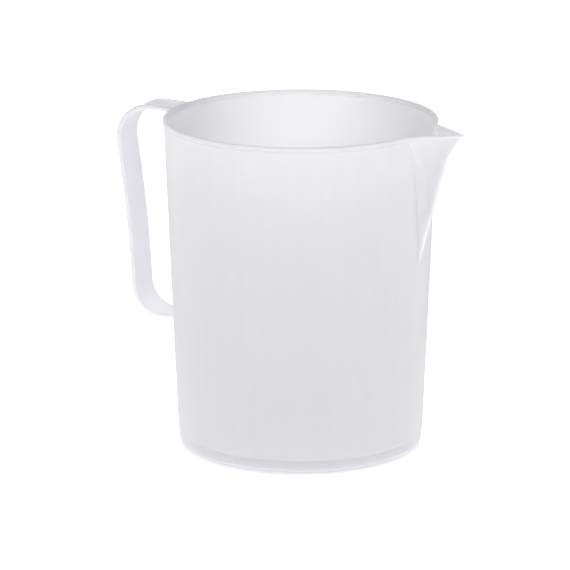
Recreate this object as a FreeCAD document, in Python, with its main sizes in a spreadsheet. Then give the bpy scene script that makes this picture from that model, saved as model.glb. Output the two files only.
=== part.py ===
"""A three litre measuring jug, injection moulded in one piece in natural polypropylene.

One slightly tapered vessel carries a creased pouring beak and, opposite it, a strap handle whose
section is a shallow channel open to the outside.  The base stands on a stepped foot ring.

Frame: millimetres, +Z up.  The origin is the centre of the foot ring, on the table; +X points out
through the beak, and the handle lies on -X.
"""

import FreeCAD, Part
import os
import re

import Sketcher

SIZES = {
    # vessel
    "jug_height": 195.5,
    "rim_radius": 78.5,         # outside of the lip
    "base_radius": 70.6,        # the outer wall, carried down to the table
    "wall": 1.8,
    "base_floor": 2.2,
    "floor_corner": 5.0,        # radius between the floor and the wall, inside
    "lip_height": 2.4,
    "lip_proud": 0.4,
    "brim_round": 0.5,
    # foot: two small steps, a rounded edge and a ring round the raised underside
    "heel_height": 13.0,
    "heel_inset": 0.3,
    "foot_height": 6.2,
    "foot_inset": 1.0,
    "foot_round": 2.2,
    "ring_width": 4.0,
    "ring_height": 1.4,
    "gate_radius": 3.0,         # the stub left in the middle, where the plastic came in
    "gate_height": 0.4,
    # beak: its ridge drops from the tip to a knee, and from there straight back to the wall
    "beak_reach": 23.9,         # from the lip out to the tip
    "beak_half_angle": 37.0,    # degrees, between the ridge and each side, seen from above
    "beak_depth": 77.0,
    "knee_reach": 13.7,         # from the lip out to the knee
    "knee_drop": 14.7,
    "knee_bend": 40.0,
    "ridge_round": 1.2,
    "beak_lip": 1.4,
    # handle: all but its width are sizes of the strap's outer side
    "handle_width": 21.0,
    "handle_depth": 2.8,
    "handle_web": 1.6,
    "handle_flange": 1.8,
    "handle_corner": 0.6,
    "handle_drop": 0.2,         # from the brim down to the strap, at the lip
    "handle_rise": 1.3,         # how much the strap climbs from the lip out to the grip
    "handle_top_reach": 39.5,   # from the lip out to the grip, carried up to the strap's top
    "handle_mid_reach": 29.0,
    "handle_low_reach": 26.1,
    "handle_mid_height": 122.5,
    "handle_low_height": 68.4,
    "handle_top_bend": 21.0,
    "handle_mid_bend": 700.0,
    "handle_low_bend": 18.5,
}

# The outer wall is one cone, and every size that lies on it comes from here.
TAPER = "(rim_radius - lip_proud - base_radius) / jug_height"


def wall_at(height):
    return f"(base_radius + {TAPER} * ({height}))"


def bound(expression):
    """The expression with the name of each size turned into its cell in the sheet."""
    return re.sub("[a-z_]+", lambda word: f"size.{word[0]}" if word[0] in SIZES else word[0], expression)


document = FreeCAD.newDocument("measuring_jug")
sheet = document.addObject("Spreadsheet::Sheet", "size")
for row, (alias, value) in enumerate(SIZES.items(), start=1):
    sheet.set(f"A{row}", alias)
    sheet.set(f"B{row}", str(value))
    sheet.setAlias(f"B{row}", alias)
document.recompute()

body = document.addObject("PartDesign::Body", "jug")
body.Label = "jug"


def plane(role):
    return [(feature, "") for feature in body.Origin.OriginFeatures if feature.Role == role]


def draw(name, role, corners, rounds=None, closed=True, offset=None):
    """A sketch of straight lines through corners, whose places are pairs of expressions.

    rounds gives the size that rounds a corner, by the corner's number.  offset, an expression,
    moves the sketch off its plane.
    """
    sketch = body.newObject("Sketcher::SketchObject", name)
    sketch.AttachmentSupport = plane(role)
    sketch.MapMode = "FlatFace"
    if offset:
        sketch.setExpression("AttachmentOffset.Base.z", bound(offset))
    count = len(corners)
    lines = count if closed else count - 1
    guess = [FreeCAD.Vector(number, number * number, 0) for number in range(count)]
    for line in range(lines):
        sketch.addGeometry(Part.LineSegment(guess[line], guess[(line + 1) % count]), False)
    for line in range(lines if closed else lines - 1):
        sketch.addConstraint(Sketcher.Constraint("Coincident", line, 2, (line + 1) % lines, 1))
    for corner, place in enumerate(corners):
        line, end = (corner, 1) if corner < lines else (corner - 1, 2)
        for axis, expression in zip("XY", place):
            start = getattr(guess[corner], axis.lower())
            label = f"{axis.lower()}{corner}"
            sketch.addConstraint(Sketcher.Constraint(f"Distance{axis}", -1, 1, line, end, start))
            sketch.renameConstraint(sketch.ConstraintCount - 1, label)
            sketch.setExpression(f"Constraints.{label}", bound(expression))
    document.recompute()
    for corner, radius in (rounds or {}).items():
        before = (corner - 1) % lines
        sketch.fillet(before, 2, getattr(sheet, radius), True, True)
        arcs = [index for index, item in enumerate(sketch.Geometry) if hasattr(item, "Radius")]
        sketch.addConstraint(Sketcher.Constraint("Radius", arcs[-1], getattr(sheet, radius)))
        sketch.renameConstraint(sketch.ConstraintCount - 1, f"round{corner}")
        sketch.setExpression(f"Constraints.round{corner}", bound(radius))
    document.recompute()
    return sketch


def add(kind, name, profile, **settings):
    """A feature of the body, made from a sketch."""
    feature = body.newObject(f"PartDesign::{kind}", name)
    feature.Profile = profile
    for setting, value in settings.items():
        setattr(feature, setting, value)
    profile.Visibility = False
    document.recompute()
    return feature


def turned(sketch):
    return {"ReferenceAxis": (sketch, ["V_Axis"]), "Angle": 360.0}


# The vessel: the outside of the wall, foot and lip, turned solid.
outside = draw(
    "vessel_outside",
    "XZ_Plane",
    [
        ("0", "ring_height - gate_height"),
        ("gate_radius", "ring_height - gate_height"),
        ("gate_radius", "ring_height"),
        ("base_radius - foot_inset - ring_width", "ring_height"),
        ("base_radius - foot_inset - ring_width", "0"),
        ("base_radius - foot_inset", "0"),
        (wall_at("foot_height") + " - foot_inset", "foot_height"),
        (wall_at("foot_height") + " - heel_inset", "foot_height + foot_inset - heel_inset"),
        (wall_at("heel_height") + " - heel_inset", "heel_height"),
        (wall_at("heel_height"), "heel_height + heel_inset"),
        (wall_at("jug_height - lip_height"), "jug_height - lip_height"),
        ("rim_radius", "jug_height - lip_height + lip_proud"),
        ("rim_radius", "jug_height"),
        ("0", "jug_height"),
    ],
    rounds={5: "foot_round"},
)
add("Revolution", "vessel", outside, **turned(outside))

# The beak: a wedge, seen from above, that follows the ridge down and so dies away into the wall.
# Its sides run back to where they pass nearest to the jug's axis, well inside the vessel.
tip = "(rim_radius + beak_reach)"
ridge = draw(
    "beak_ridge",
    "XZ_Plane",
    [
        (f"{tip} - lip_proud / sin(beak_half_angle)", "jug_height"),
        ("rim_radius + knee_reach", "jug_height - knee_drop"),
        (
            wall_at("jug_height - beak_depth") + " * 1.15 - (rim_radius + knee_reach) * 0.15",
            "jug_height - beak_depth - (beak_depth - knee_drop) * 0.15",
        ),
    ],
    rounds={1: "knee_bend"},
    closed=False,
)


def wedge(name, inset, rounded=True):
    """The beak seen from above, inset from the outside of its lip by an expression."""
    apex = f"({tip} + ridge_round * (1 / sin(beak_half_angle) - 1) - ({inset}) / sin(beak_half_angle))"
    back = f"{tip} * sin(beak_half_angle) ^ 2"
    half = f"({apex} - {back}) * tan(beak_half_angle)"
    return draw(
        name,
        "XY_Plane",
        [(apex, "0"), (back, half), (back, f"-{half}")],
        rounds={0: "ridge_round"} if rounded else None,
        offset="jug_height",
    )


add("AdditivePipe", "beak", wedge("beak_outside", "lip_proud"), Spine=(ridge, []), Mode="Fixed")
lip = add("Pad", "beak_lip", wedge("beak_lip_outside", "0"), Reversed=True)
lip.setExpression("Length", bound("beak_lip"))
document.recompute()


def ease_brim(name, outside):
    """Rounds the edges of the jug's top face, either those round its outside or the others."""
    solid = body.Tip
    height = sheet.jug_height
    face = next(
        face
        for face in solid.Shape.Faces
        if abs(face.BoundBox.ZMin - height) + abs(face.BoundBox.ZMax - height) < 0.01
    )
    around = face.OuterWire.Edges
    chosen = [edge for edge in face.Edges if any(edge.isSame(other) for other in around) == outside]
    names = []
    for number, edge in enumerate(solid.Shape.Edges, start=1):
        if any(edge.isSame(other) for other in chosen):
            names.append(f"Edge{number}")
    eased = body.newObject("PartDesign::Fillet", name)
    eased.Base = (solid, names)
    eased.setExpression("Radius", bound("brim_round"))
    document.recompute()


# The brim's outer edge is eased all the way round, beak and all, before the handle meets it.
ease_brim("brim_outside", True)

# The handle: one strap that climbs a little as it leaves the vessel, just under the brim, turns
# down into a slightly bowed grip that leans with the wall, and comes back level.  Its ends run on
# into what becomes the hollow.
start = "base_radius / 2"
top = f"(jug_height - handle_drop - handle_rise * (rim_radius - {start}) / handle_top_reach)"
run = draw(
    "handle_run",
    "XZ_Plane",
    [
        (f"-{start}", top),
        ("-rim_radius - handle_top_reach", "jug_height - handle_drop + handle_rise"),
        ("-rim_radius - handle_mid_reach", "handle_mid_height"),
        ("-rim_radius - handle_low_reach", "handle_low_height"),
        (f"-{start}", "handle_low_height"),
    ],
    rounds={1: "handle_top_bend", 2: "handle_mid_bend", 3: "handle_low_bend"},
    closed=False,
)
section = draw(
    "handle_section",
    "YZ_Plane",
    [
        ("-handle_width / 2", top),
        ("-handle_width / 2", f"{top} - handle_depth"),
        ("handle_width / 2", f"{top} - handle_depth"),
        ("handle_width / 2", top),
        ("handle_width / 2 - handle_flange", top),
        ("handle_width / 2 - handle_flange", f"{top} - handle_depth + handle_web"),
        ("handle_flange - handle_width / 2", f"{top} - handle_depth + handle_web"),
        ("handle_flange - handle_width / 2", top),
    ],
    rounds=dict.fromkeys(range(4), "handle_corner"),
    offset=f"-{start}",
)
add("AdditivePipe", "handle", section, Spine=(run, []), Mode="Standard")

# The hollow: one groove for the vessel, which also takes off what the beak and the handle left
# inside it, and the beak's own channel.
floor = "ring_height + base_floor"
above = "jug_height + lip_height"
inside = draw(
    "vessel_inside",
    "XZ_Plane",
    [
        ("0", floor),
        (wall_at(floor) + " - wall", floor),
        (wall_at(above) + " - wall", above),
        ("0", above),
    ],
    rounds={1: "floor_corner"},
)
add("Groove", "hollow", inside, **turned(inside))
beak_inside = wedge("beak_inside", "lip_proud + wall", rounded=False)
add("SubtractivePipe", "beak_channel", beak_inside, Spine=(ridge, []), Mode="Fixed")
ease_brim("brim_inside", False)

# A groove or a channel that pointed the wrong way would cut nothing and say nothing.
volumes = [body.getObject(name).Shape.Volume for name in ("handle", "hollow", "beak_channel")]
if not volumes[0] > 2 * volumes[1] or not volumes[1] > volumes[2] + 1000:
    raise RuntimeError(f"the hollow or the beak's channel cut nothing: {volumes}")

for item in document.Objects:
    if "Invalid" in item.State or "Error" in item.State:
        raise RuntimeError(f"{item.Name} did not build: {item.State}")

jug = body.Shape
if jug.isNull() or not jug.isValid() or len(jug.Solids) != 1:
    raise RuntimeError("the jug is not one sound solid")

os.makedirs("parts", exist_ok=True)
jug.exportStep("parts/jug.step")
print(f"jug: {jug.Volume / 1000:.1f} cm3, {len(jug.Faces)} faces")
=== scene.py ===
import math

import bpy
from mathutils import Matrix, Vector


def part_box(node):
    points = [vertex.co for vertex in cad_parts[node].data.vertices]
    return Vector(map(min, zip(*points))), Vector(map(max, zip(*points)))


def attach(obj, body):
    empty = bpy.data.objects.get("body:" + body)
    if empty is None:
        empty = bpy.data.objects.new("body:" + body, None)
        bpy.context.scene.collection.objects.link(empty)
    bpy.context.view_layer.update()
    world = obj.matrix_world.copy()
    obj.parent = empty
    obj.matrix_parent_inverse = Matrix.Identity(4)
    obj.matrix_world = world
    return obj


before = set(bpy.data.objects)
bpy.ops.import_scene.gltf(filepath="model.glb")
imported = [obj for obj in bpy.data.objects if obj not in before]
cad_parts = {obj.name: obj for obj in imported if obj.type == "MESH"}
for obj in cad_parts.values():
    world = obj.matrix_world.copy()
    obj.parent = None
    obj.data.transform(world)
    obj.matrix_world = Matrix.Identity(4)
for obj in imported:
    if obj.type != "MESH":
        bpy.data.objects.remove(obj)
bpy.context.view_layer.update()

# ---------------------------------------------------------------- the jug
# Injection moulded in one shot: vessel, beak and strap handle are a single piece of natural
# polypropylene.  The bare resin has no pigment, so it is milky white and lets light through.

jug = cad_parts["jug"]
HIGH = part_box("jug")[1]
MM = 0.001
SLOPE = 0.0384              # how far the wall leans out as it rises
MID_WALL = 69.7 * MM        # from the axis to the middle of the wall, carried down to the table
# The next three numbers place the painted shade at the rim: the lip is painted greyer from the first height
# up, and a thin painted shadow line runs round the second.
LIP_FOOT = HIGH.z - 2.7 * MM
SHADOW_LINE_HEIGHT = HIGH.z - 3.1 * MM
SHADOW_LINE_HALF = 0.4 * MM
CLEAR_FROM = 77.5 * MM      # from the axis to where the strap and the beak leave the vessel
CLEAR_TO = 82 * MM
CLOUD = 35 * MM
STREAK = 4 * MM
GRAIN = 0.6 * MM


def paint(hex_colour):
    """A linear colour from the sRGB hex that a colour card would give."""
    parts = [int(hex_colour[i : i + 2], 16) / 255 for i in (1, 3, 5)]
    linear = [p / 12.92 if p <= 0.04045 else ((p + 0.055) / 1.055) ** 2.4 for p in parts]
    return (*linear, 1.0)


def node(material, kind, inputs=None, **settings):
    """Adds a node to a material.  inputs gives its sockets by name or number, each as a value or
    as the output that feeds it, and settings gives the node's own properties."""
    added = material.node_tree.nodes.new(kind)
    for name, value in settings.items():
        setattr(added, name, value)
    for name, value in (inputs or {}).items():
        if isinstance(value, bpy.types.NodeSocket):
            material.node_tree.links.new(value, added.inputs[name])
        else:
            added.inputs[name].default_value = value
    return added


def blank(name):
    material = bpy.data.materials.new(name)
    material.use_nodes = True
    material.node_tree.nodes.clear()
    return material


# Natural polypropylene, moulded against finely sparked steel: a soft satin skin over a body that
# scatters light over about a centimetre, which is what makes the thin wall glow from within.
resin = blank("natural_polypropylene")
place = node(resin, "ShaderNodeTexCoord").outputs["Object"]
axes = node(resin, "ShaderNodeSeparateXYZ", {0: place}).outputs

# It sets in soft clouds about 35 mm across, and being drawn off its core leaves it faint upright
# streaks about 4 mm wide and twenty times as long.
clouds = node(resin, "ShaderNodeTexNoise", {"Vector": place, "Scale": 1 / CLOUD, "Detail": 3.0}).outputs[0]
drawn = node(resin, "ShaderNodeMapping", {"Vector": place, "Scale": (1.0, 1.0, 0.05)}).outputs[0]
streaks = node(resin, "ShaderNodeTexNoise", {"Vector": drawn, "Scale": 1 / STREAK, "Detail": 2.0}).outputs[0]
uneven = node(resin, "ShaderNodeMath", {0: clouds, 1: streaks}, operation="ADD").outputs[0]
milk = node(resin, "ShaderNodeMapRange", {"Value": uneven, "From Min": 0.75, "From Max": 1.25}).outputs[0]
colour = node(
    resin, "ShaderNodeMix", {0: milk, 6: paint("#F0EFFC"), 7: paint("#F2F1FD")}, data_type="RGBA"
).outputs[2]

# Painted light: the inside is painted a little whiter than the outside, so that it shows brighter.
# It is all that lies nearer the axis than the middle of the leaning wall.
flat = node(resin, "ShaderNodeCombineXYZ", {"X": axes["X"], "Y": axes["Y"]}).outputs[0]
reach = node(resin, "ShaderNodeVectorMath", {0: flat}, operation="LENGTH").outputs["Value"]
lean = {0: axes["Z"], 1: -SLOPE, 2: reach}
upright = node(resin, "ShaderNodeMath", lean, operation="MULTIPLY_ADD").outputs[0]
inside = node(resin, "ShaderNodeMath", {0: upright, 1: MID_WALL}, operation="LESS_THAN").outputs[0]

# Painted shade: the lip is painted greyer, and a thin band just under it is painted greyer still, a
# painted shadow line round the jug.
lip = node(resin, "ShaderNodeMath", {0: axes["Z"], 1: LIP_FOOT}, operation="GREATER_THAN").outputs[0]
near = {0: axes["Z"], 1: SHADOW_LINE_HEIGHT, 2: SHADOW_LINE_HALF}
shadow_line = node(resin, "ShaderNodeMath", near, operation="COMPARE").outputs[0]

# Painted shade: the strap and the beak, beyond the vessel's wall, are painted a little greyer than the wall.
beyond = {"Value": reach, "From Min": CLEAR_FROM, "From Max": CLEAR_TO}
clear = node(resin, "ShaderNodeMapRange", beyond).outputs[0]
# Mixed in order: the painted light of the inside, then the painted shade of the lip, of the shadow line under
# it, and of the strap and the beak.
for part, shade in ((inside, "#F7F4FF"), (lip, "#E0DFE6"), (shadow_line, "#DEDDE4"), (clear, "#DBDBE0")):
    shaded = node(resin, "ShaderNodeMix", {0: part, 6: colour, 7: paint(shade)}, data_type="RGBA")
    colour = shaded.outputs[2]

# The sparked grain is about 0.1 mm across, too fine to show, so it is drawn six times as coarse.
grain = node(resin, "ShaderNodeTexNoise", {"Vector": place, "Scale": 1 / GRAIN, "Detail": 1.0}).outputs[0]
ridges = node(resin, "ShaderNodeMath", {0: streaks, 1: 1.5, 2: grain}, operation="MULTIPLY_ADD").outputs[0]
relief = node(resin, "ShaderNodeBump", {"Strength": 0.25, "Distance": 0.05 * MM, "Height": ridges}).outputs[0]
gloss = {"Value": clouds, "From Min": 0.3, "From Max": 0.7, "To Min": 0.42, "To Max": 0.52}
satin = node(resin, "ShaderNodeMapRange", gloss).outputs[0]
skin = node(
    resin,
    "ShaderNodeBsdfPrincipled",
    {
        "Base Color": colour,
        "Roughness": satin,
        "Normal": relief,
        "IOR": 1.49,
        "Specular IOR Level": 0.25,
        "Subsurface Weight": 1.0,
        "Subsurface Radius": (1.0, 1.0, 1.0),
        "Subsurface Scale": 12 * MM,
    },
)
node(resin, "ShaderNodeOutputMaterial", {"Surface": skin.outputs[0]})
for slot in jug.material_slots:
    slot.material = resin

# ---------------------------------------------------------------- the graduation scale
# Raised on the outside of the wall, on the jug's far side: a line for each tenth of a litre from 0.2
# to 2.5, a longer one for each half litre, and its millilitres beside it.  It is engraved in the
# mould's cavity, so it is the same polypropylene as the wall, and stands 0.35 mm proud.
FLOOR_TOP = 3.6 * MM
BORE = 69.0 * MM            # the radius inside, at the floor
WALL = 1.8 * MM
PROUD = 0.35 * MM
ROOT = 0.25 * MM            # how deep a line or a digit sits in the wall
LITRE = 0.001
HALF_LINE = 0.35            # half the width of a line, in millimetres, as are the next four
TENTH_REACH = 6.5           # from the scale's middle to the end of a line
HALF_LITRE_REACH = 11.0
DIGIT_HEIGHT = 8.0
DIGITS_ASIDE = 22.0         # from the scale's middle to the middle of a number


def level(litres):
    """The height up to which the jug holds litres, from the volume of its tapered bore.  The
    round corner at the floor is left out."""
    deep = ((3 * SLOPE * litres * LITRE / math.pi + BORE**3) ** (1 / 3) - BORE) / SLOPE
    return FLOOR_TOP + deep


def wrapped(across, up, out):
    """The point of the far wall's outside that lies across millimetres round from its middle."""
    around = across * MM / (BORE + WALL)
    away = BORE + WALL + SLOPE * (up - FLOOR_TOP) + out
    return (-away * math.sin(around), away * math.cos(around), up)


def line_mesh(half, up):
    """The corners and faces of one raised line, as a bar that follows the wall."""
    steps = 12
    section = ((-1.0, -ROOT), (-0.7, PROUD), (0.7, PROUD), (1.0, -ROOT))
    points, faces = [], []
    for step in range(steps + 1):
        across = half * (2 * step / steps - 1)
        for side, out in section:
            points.append(wrapped(across, up + side * HALF_LINE * MM, out))
    for step in range(steps):
        a, b = 4 * step, 4 * step + 4
        faces += [(a + i, a + (i + 1) % 4, b + (i + 1) % 4, b + i) for i in range(4)]
    faces += [(3, 2, 1, 0), tuple(4 * steps + i for i in range(4))]
    return points, faces


def raised(name, mesh):
    piece = bpy.data.objects.new(name, mesh)
    bpy.context.scene.collection.objects.link(piece)
    mesh.materials.append(resin)
    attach(piece, "root")


points, faces = [], []
for tenth in range(2, 26):
    half = TENTH_REACH if tenth % 5 else HALF_LITRE_REACH
    bar, sides = line_mesh(half, level(tenth / 10))
    faces += [tuple(corner + len(points) for corner in side) for side in sides]
    points += bar
lines = bpy.data.meshes.new("scale_lines")
lines.from_pydata(points, [], faces)
raised("scale_lines", lines)

# Each number is laid out flat and then bent to the wall, where its face and its root take their
# depths.
for millilitres in range(500, 3000, 500):
    number = bpy.data.curves.new("number", "FONT")
    number.body = f"{millilitres}"
    number.size = DIGIT_HEIGHT
    number.align_x = "CENTER"
    number.align_y = "CENTER"
    number.extrude = 1.0
    shape = bpy.data.objects.new("number", number)
    bpy.context.scene.collection.objects.link(shape)
    bpy.context.view_layer.update()
    drawn_up = shape.evaluated_get(bpy.context.evaluated_depsgraph_get())
    digits = bpy.data.meshes.new_from_object(drawn_up)
    bpy.data.objects.remove(shape)
    up = level(millilitres / 1000)
    for point in digits.vertices:
        out = PROUD if point.co.z > 0 else -ROOT
        point.co = wrapped(point.co.x + DIGITS_ASIDE, up + point.co.y * MM, out)
    raised(f"scale_{millilitres}", digits)

# ---------------------------------------------------------------- table, light and camera
# A light table: a sheet of opal acrylic, lit from below, under a white tent that is brighter round
# its sides than overhead.  The sheet is white to the eye and still takes the jug's shadow.
TABLE_HALF = 6.0


def sheet(name, material, half_wide, half_deep):
    """A flat sheet of a material, round its own middle."""
    corners = ((-1, -1), (1, -1), (1, 1), (-1, 1))
    mesh = bpy.data.meshes.new(name)
    mesh.from_pydata([(x * half_wide, y * half_deep, 0.0) for x, y in corners], [], [(0, 1, 2, 3)])
    mesh.materials.append(material)
    return mesh


opal = blank("opal_acrylic")
matt = node(opal, "ShaderNodeBsdfDiffuse", {"Color": paint("#F0F0F0")}).outputs[0]
glow = node(opal, "ShaderNodeEmission", {"Color": (1, 1, 1, 1), "Strength": 0.85}).outputs[0]
lit = node(opal, "ShaderNodeAddShader", {0: matt, 1: glow}).outputs[0]
node(opal, "ShaderNodeOutputMaterial", {"Surface": lit})
table = bpy.data.objects.new("light_table", sheet("light_table", opal, TABLE_HALF, TABLE_HALF))
bpy.context.scene.collection.objects.link(table)

# Seen straight, in a reflection or through the plastic, the tent is plain white.
tent = bpy.data.worlds.new("tent")
bpy.context.scene.world = tent
tent.use_nodes = True
tent.node_tree.nodes.clear()
way = node(tent, "ShaderNodeTexCoord").outputs["Generated"]
height = node(tent, "ShaderNodeSeparateXYZ", {0: way}).outputs["Z"]
fading = node(tent, "ShaderNodeMapRange", {"Value": height, "To Min": 0.45, "To Max": 0.3}).outputs[0]
cloth = node(tent, "ShaderNodeBackground", {"Color": (1, 1, 1, 1), "Strength": fading}).outputs[0]
white = node(tent, "ShaderNodeBackground", {"Color": (1, 1, 1, 1), "Strength": 1.0}).outputs[0]
rays = node(tent, "ShaderNodeLightPath").outputs
straight = rays["Is Camera Ray"]
for kind in ("Is Glossy Ray", "Is Transmission Ray"):
    straight = node(tent, "ShaderNodeMath", {0: straight, 1: rays[kind]}, operation="MAXIMUM").outputs[0]
shown = node(tent, "ShaderNodeMixShader", {0: straight, 1: cloth, 2: white}).outputs[0]
node(tent, "ShaderNodeOutputWorld", {"Surface": shown})


def aimed(name, data, side, rise, away):
    """Stands a lamp, a card or a camera away from the middle of the jug and points it there.  side
    is in degrees round from the jug's front towards its beak, rise in degrees up from level."""
    stood = bpy.data.objects.new(name, data)
    bpy.context.scene.collection.objects.link(stood)
    side, rise = math.radians(side), math.radians(rise)
    toward = Vector((math.cos(rise) * math.sin(side), -math.cos(rise) * math.cos(side), math.sin(rise)))
    stood.location = Vector((0.0, 0.0, HIGH.z / 2)) + toward * away
    stood.rotation_euler = (-toward).to_track_quat("-Z", "Y").to_euler()
    return stood


# Two soft boxes in front, and a wide one behind that shines through the plastic and is not mirrored
# in it.
BOX_HEIGHT = 0.9
BOX_AWAY = 1.5
for name, side, rise, width, power in (
    ("left_box", -8.5, 32, 0.9, 4.5),
    ("right_box", 61.5, 32, 0.9, 4.7),
    ("back_box", -153.5, 10, 2.6, 14.5),
):
    light = bpy.data.lights.new(name, "AREA")
    light.shape = "RECTANGLE"
    light.size = width
    light.size_y = BOX_HEIGHT
    light.energy = power
    lamp = aimed(name, light, side, rise, BOX_AWAY)
    lamp.visible_glossy = name != "back_box"

# Two dark cards close behind the jug, which the camera doesn't see, hold back the light that would
# wash out the strap and the beak.
dark = blank("dark_card")
felt = node(dark, "ShaderNodeBsdfDiffuse", {"Color": paint("#303030")}).outputs[0]
node(dark, "ShaderNodeOutputMaterial", {"Surface": felt})
for name, side in (("left_card", -113.5), ("right_card", 166.5)):
    card = aimed(name, sheet(name, dark, 0.04, 0.15), side, 8, 0.25)
    card.visible_camera = False

# The camera looks down a little on the jug, from the side and slightly from the beak.
lens = bpy.data.cameras.new("camera")
lens.lens = 223.6
lens.sensor_width = 36.0
lens.shift_x = -0.0272
lens.shift_y = -0.0036
bpy.context.scene.camera = aimed("camera", lens, 26.5, 15.1, 2.041)
bpy.context.scene.view_settings.view_transform = "Standard"
